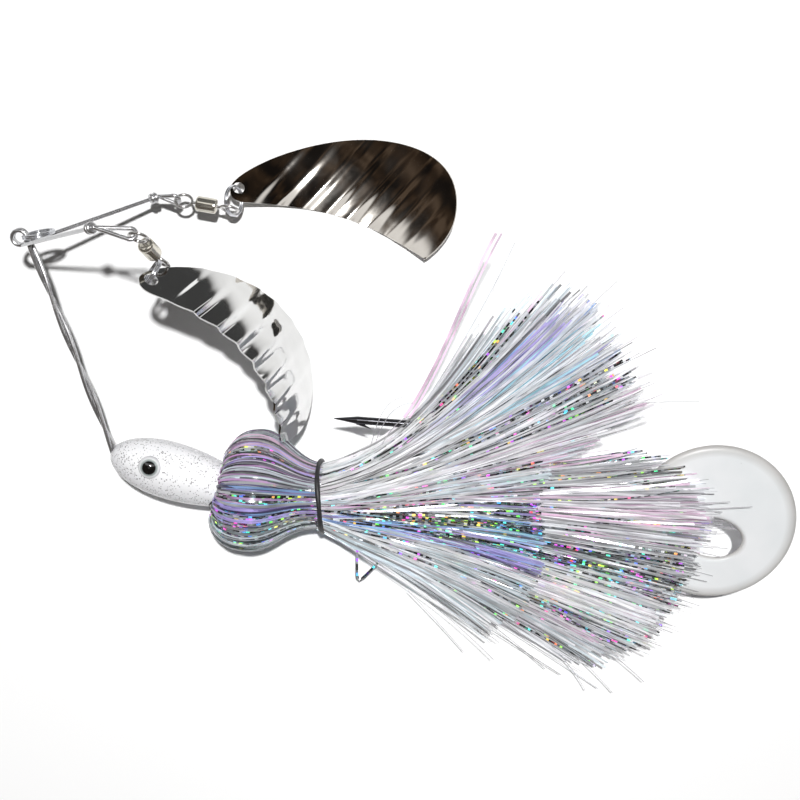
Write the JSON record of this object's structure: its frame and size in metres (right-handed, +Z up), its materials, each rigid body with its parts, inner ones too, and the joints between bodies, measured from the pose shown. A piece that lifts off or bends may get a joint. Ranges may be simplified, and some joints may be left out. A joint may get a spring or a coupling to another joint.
{
  "type": "spinnerbait",
  "caption": "Fishing spinnerbait: a twisted wire frame with cupped spinner blades on swivels, a round weighted head, a long single hook, a tinsel skirt and a curl-tail trailer.",
  "frame": {"origin": "centre of the line-tie coil", "axes": "+X runs back along the lure, +Z is up when it swims, so the hook point is up; +Y is the lure's right-hand blade side"},
  "size_m": [0.3125, 0.1001, 0.1857],
  "materials": {
    "frame_wire": "satin stainless wire",
    "ring_steel": "polished",
    "head_paint": "pearl white with fine dark glitter",
    "eye_plastic": "black pupil in a silver-grey rim",
    "hook_steel": "black nickel",
    "thread": "waxed thread",
    "tinsel": "pearl and holographic film strands",
    "band_rubber": "matte",
    "soft_bait": "translucent soft plastic",
    "swivel_steel": "bright nickel wire",
    "swivel_barrel": "black nickel over brass",
    "blade_chrome": "bright nickel"
  },
  "bodies": {
    "lure": {"wire_frame_right": "frame_wire", "wire_frame_left": "frame_wire", "head": "head_paint", "head_eye_right": "eye_plastic", "head_eye_left": "eye_plastic", "hook": "hook_steel", "collar_thread": "thread", "skirt_front_bundle": "tinsel", "skirt_band": "band_rubber", "skirt_outer_tier": "tinsel", "skirt_inner_tier": "tinsel", "inner_tier_thread": "thread", "trailer_grub": "soft_bait"},
    "tie_ring": {"line_tie_ring": "ring_steel"},
    "front_eye_right": {"swivel_front_eye_right": "swivel_steel"},
    "barrel_right": {"swivel_barrel_right": "swivel_barrel"},
    "rear_eye_right": {"swivel_rear_eye_right": "swivel_steel"},
    "ring_right": {"split_ring_right": "ring_steel"},
    "blade_body_right": {"blade_right": "blade_chrome"},
    "front_eye_left": {"swivel_front_eye_left": "swivel_steel"},
    "barrel_left": {"swivel_barrel_left": "swivel_barrel"},
    "rear_eye_left": {"swivel_rear_eye_left": "swivel_steel"},
    "ring_left": {"split_ring_left": "ring_steel"},
    "blade_body_left": {"blade_left": "blade_chrome"}
  },
  "joints": [
    {"name": "line_tie_ring_swing", "type": "hinge", "parent": "lure", "child": "tie_ring", "pos_m": [0, 0, 0], "axis": [0, 1, 0], "range_deg": [-90, 0]},
    {"name": "front_eye_swing_right", "type": "hinge", "parent": "lure", "child": "front_eye_right", "pos_m": [0.0507, 0.036, 0.017], "axis": [0, -0.6, 0.8], "range_deg": [-20, 90]},
    {"name": "barrel_spin_right", "type": "hinge", "parent": "front_eye_right", "child": "barrel_right", "pos_m": [0.05738, 0.036, 0.017], "axis": [1, 0, 0], "continuous": true},
    {"name": "rear_eye_spin_right", "type": "hinge", "parent": "barrel_right", "child": "rear_eye_right", "pos_m": [0.07068, 0.036, 0.017], "axis": [1, 0, 0], "continuous": true},
    {"name": "ring_swing_right", "type": "hinge", "parent": "rear_eye_right", "child": "ring_right", "pos_m": [0.07154, 0.03878, 0.01544], "axis": [0.8986, -0.3826, 0.2148], "range_deg": [-75, 8]},
    {"name": "blade_swing_right", "type": "hinge", "parent": "ring_right", "child": "blade_body_right", "pos_m": [0.07133, 0.04066, 0.01966], "axis": [0.8986, -0.3826, 0.2148], "range_deg": [-90, 90]},
    {"name": "front_eye_swing_left", "type": "hinge", "parent": "lure", "child": "front_eye_left", "pos_m": [0.0507, -0.036, 0.017], "axis": [0, 0.6, 0.8], "range_deg": [-150, 0]},
    {"name": "barrel_spin_left", "type": "hinge", "parent": "front_eye_left", "child": "barrel_left", "pos_m": [0.05287, -0.03095, 0.01321], "axis": [0.3256, 0.7564, -0.5673], "range_deg": [-120, 0]},
    {"name": "rear_eye_spin_left", "type": "hinge", "parent": "barrel_left", "child": "rear_eye_left", "pos_m": [0.0572, -0.02089, 0.00567], "axis": [0.3256, 0.7564, -0.5673], "range_deg": [-120, 0]},
    {"name": "ring_swing_left", "type": "hinge", "parent": "rear_eye_left", "child": "ring_left", "pos_m": [0.05602, -0.01805, 0.00446], "axis": [0.8792, 0.1791, -0.4416], "range_deg": [-5, 90]},
    {"name": "blade_swing_left", "type": "hinge", "parent": "ring_left", "child": "blade_body_left", "pos_m": [0.05441, -0.01986, 0.00051], "axis": [0.8792, 0.1791, -0.4416], "range_deg": [-50, 90]}
  ]
}
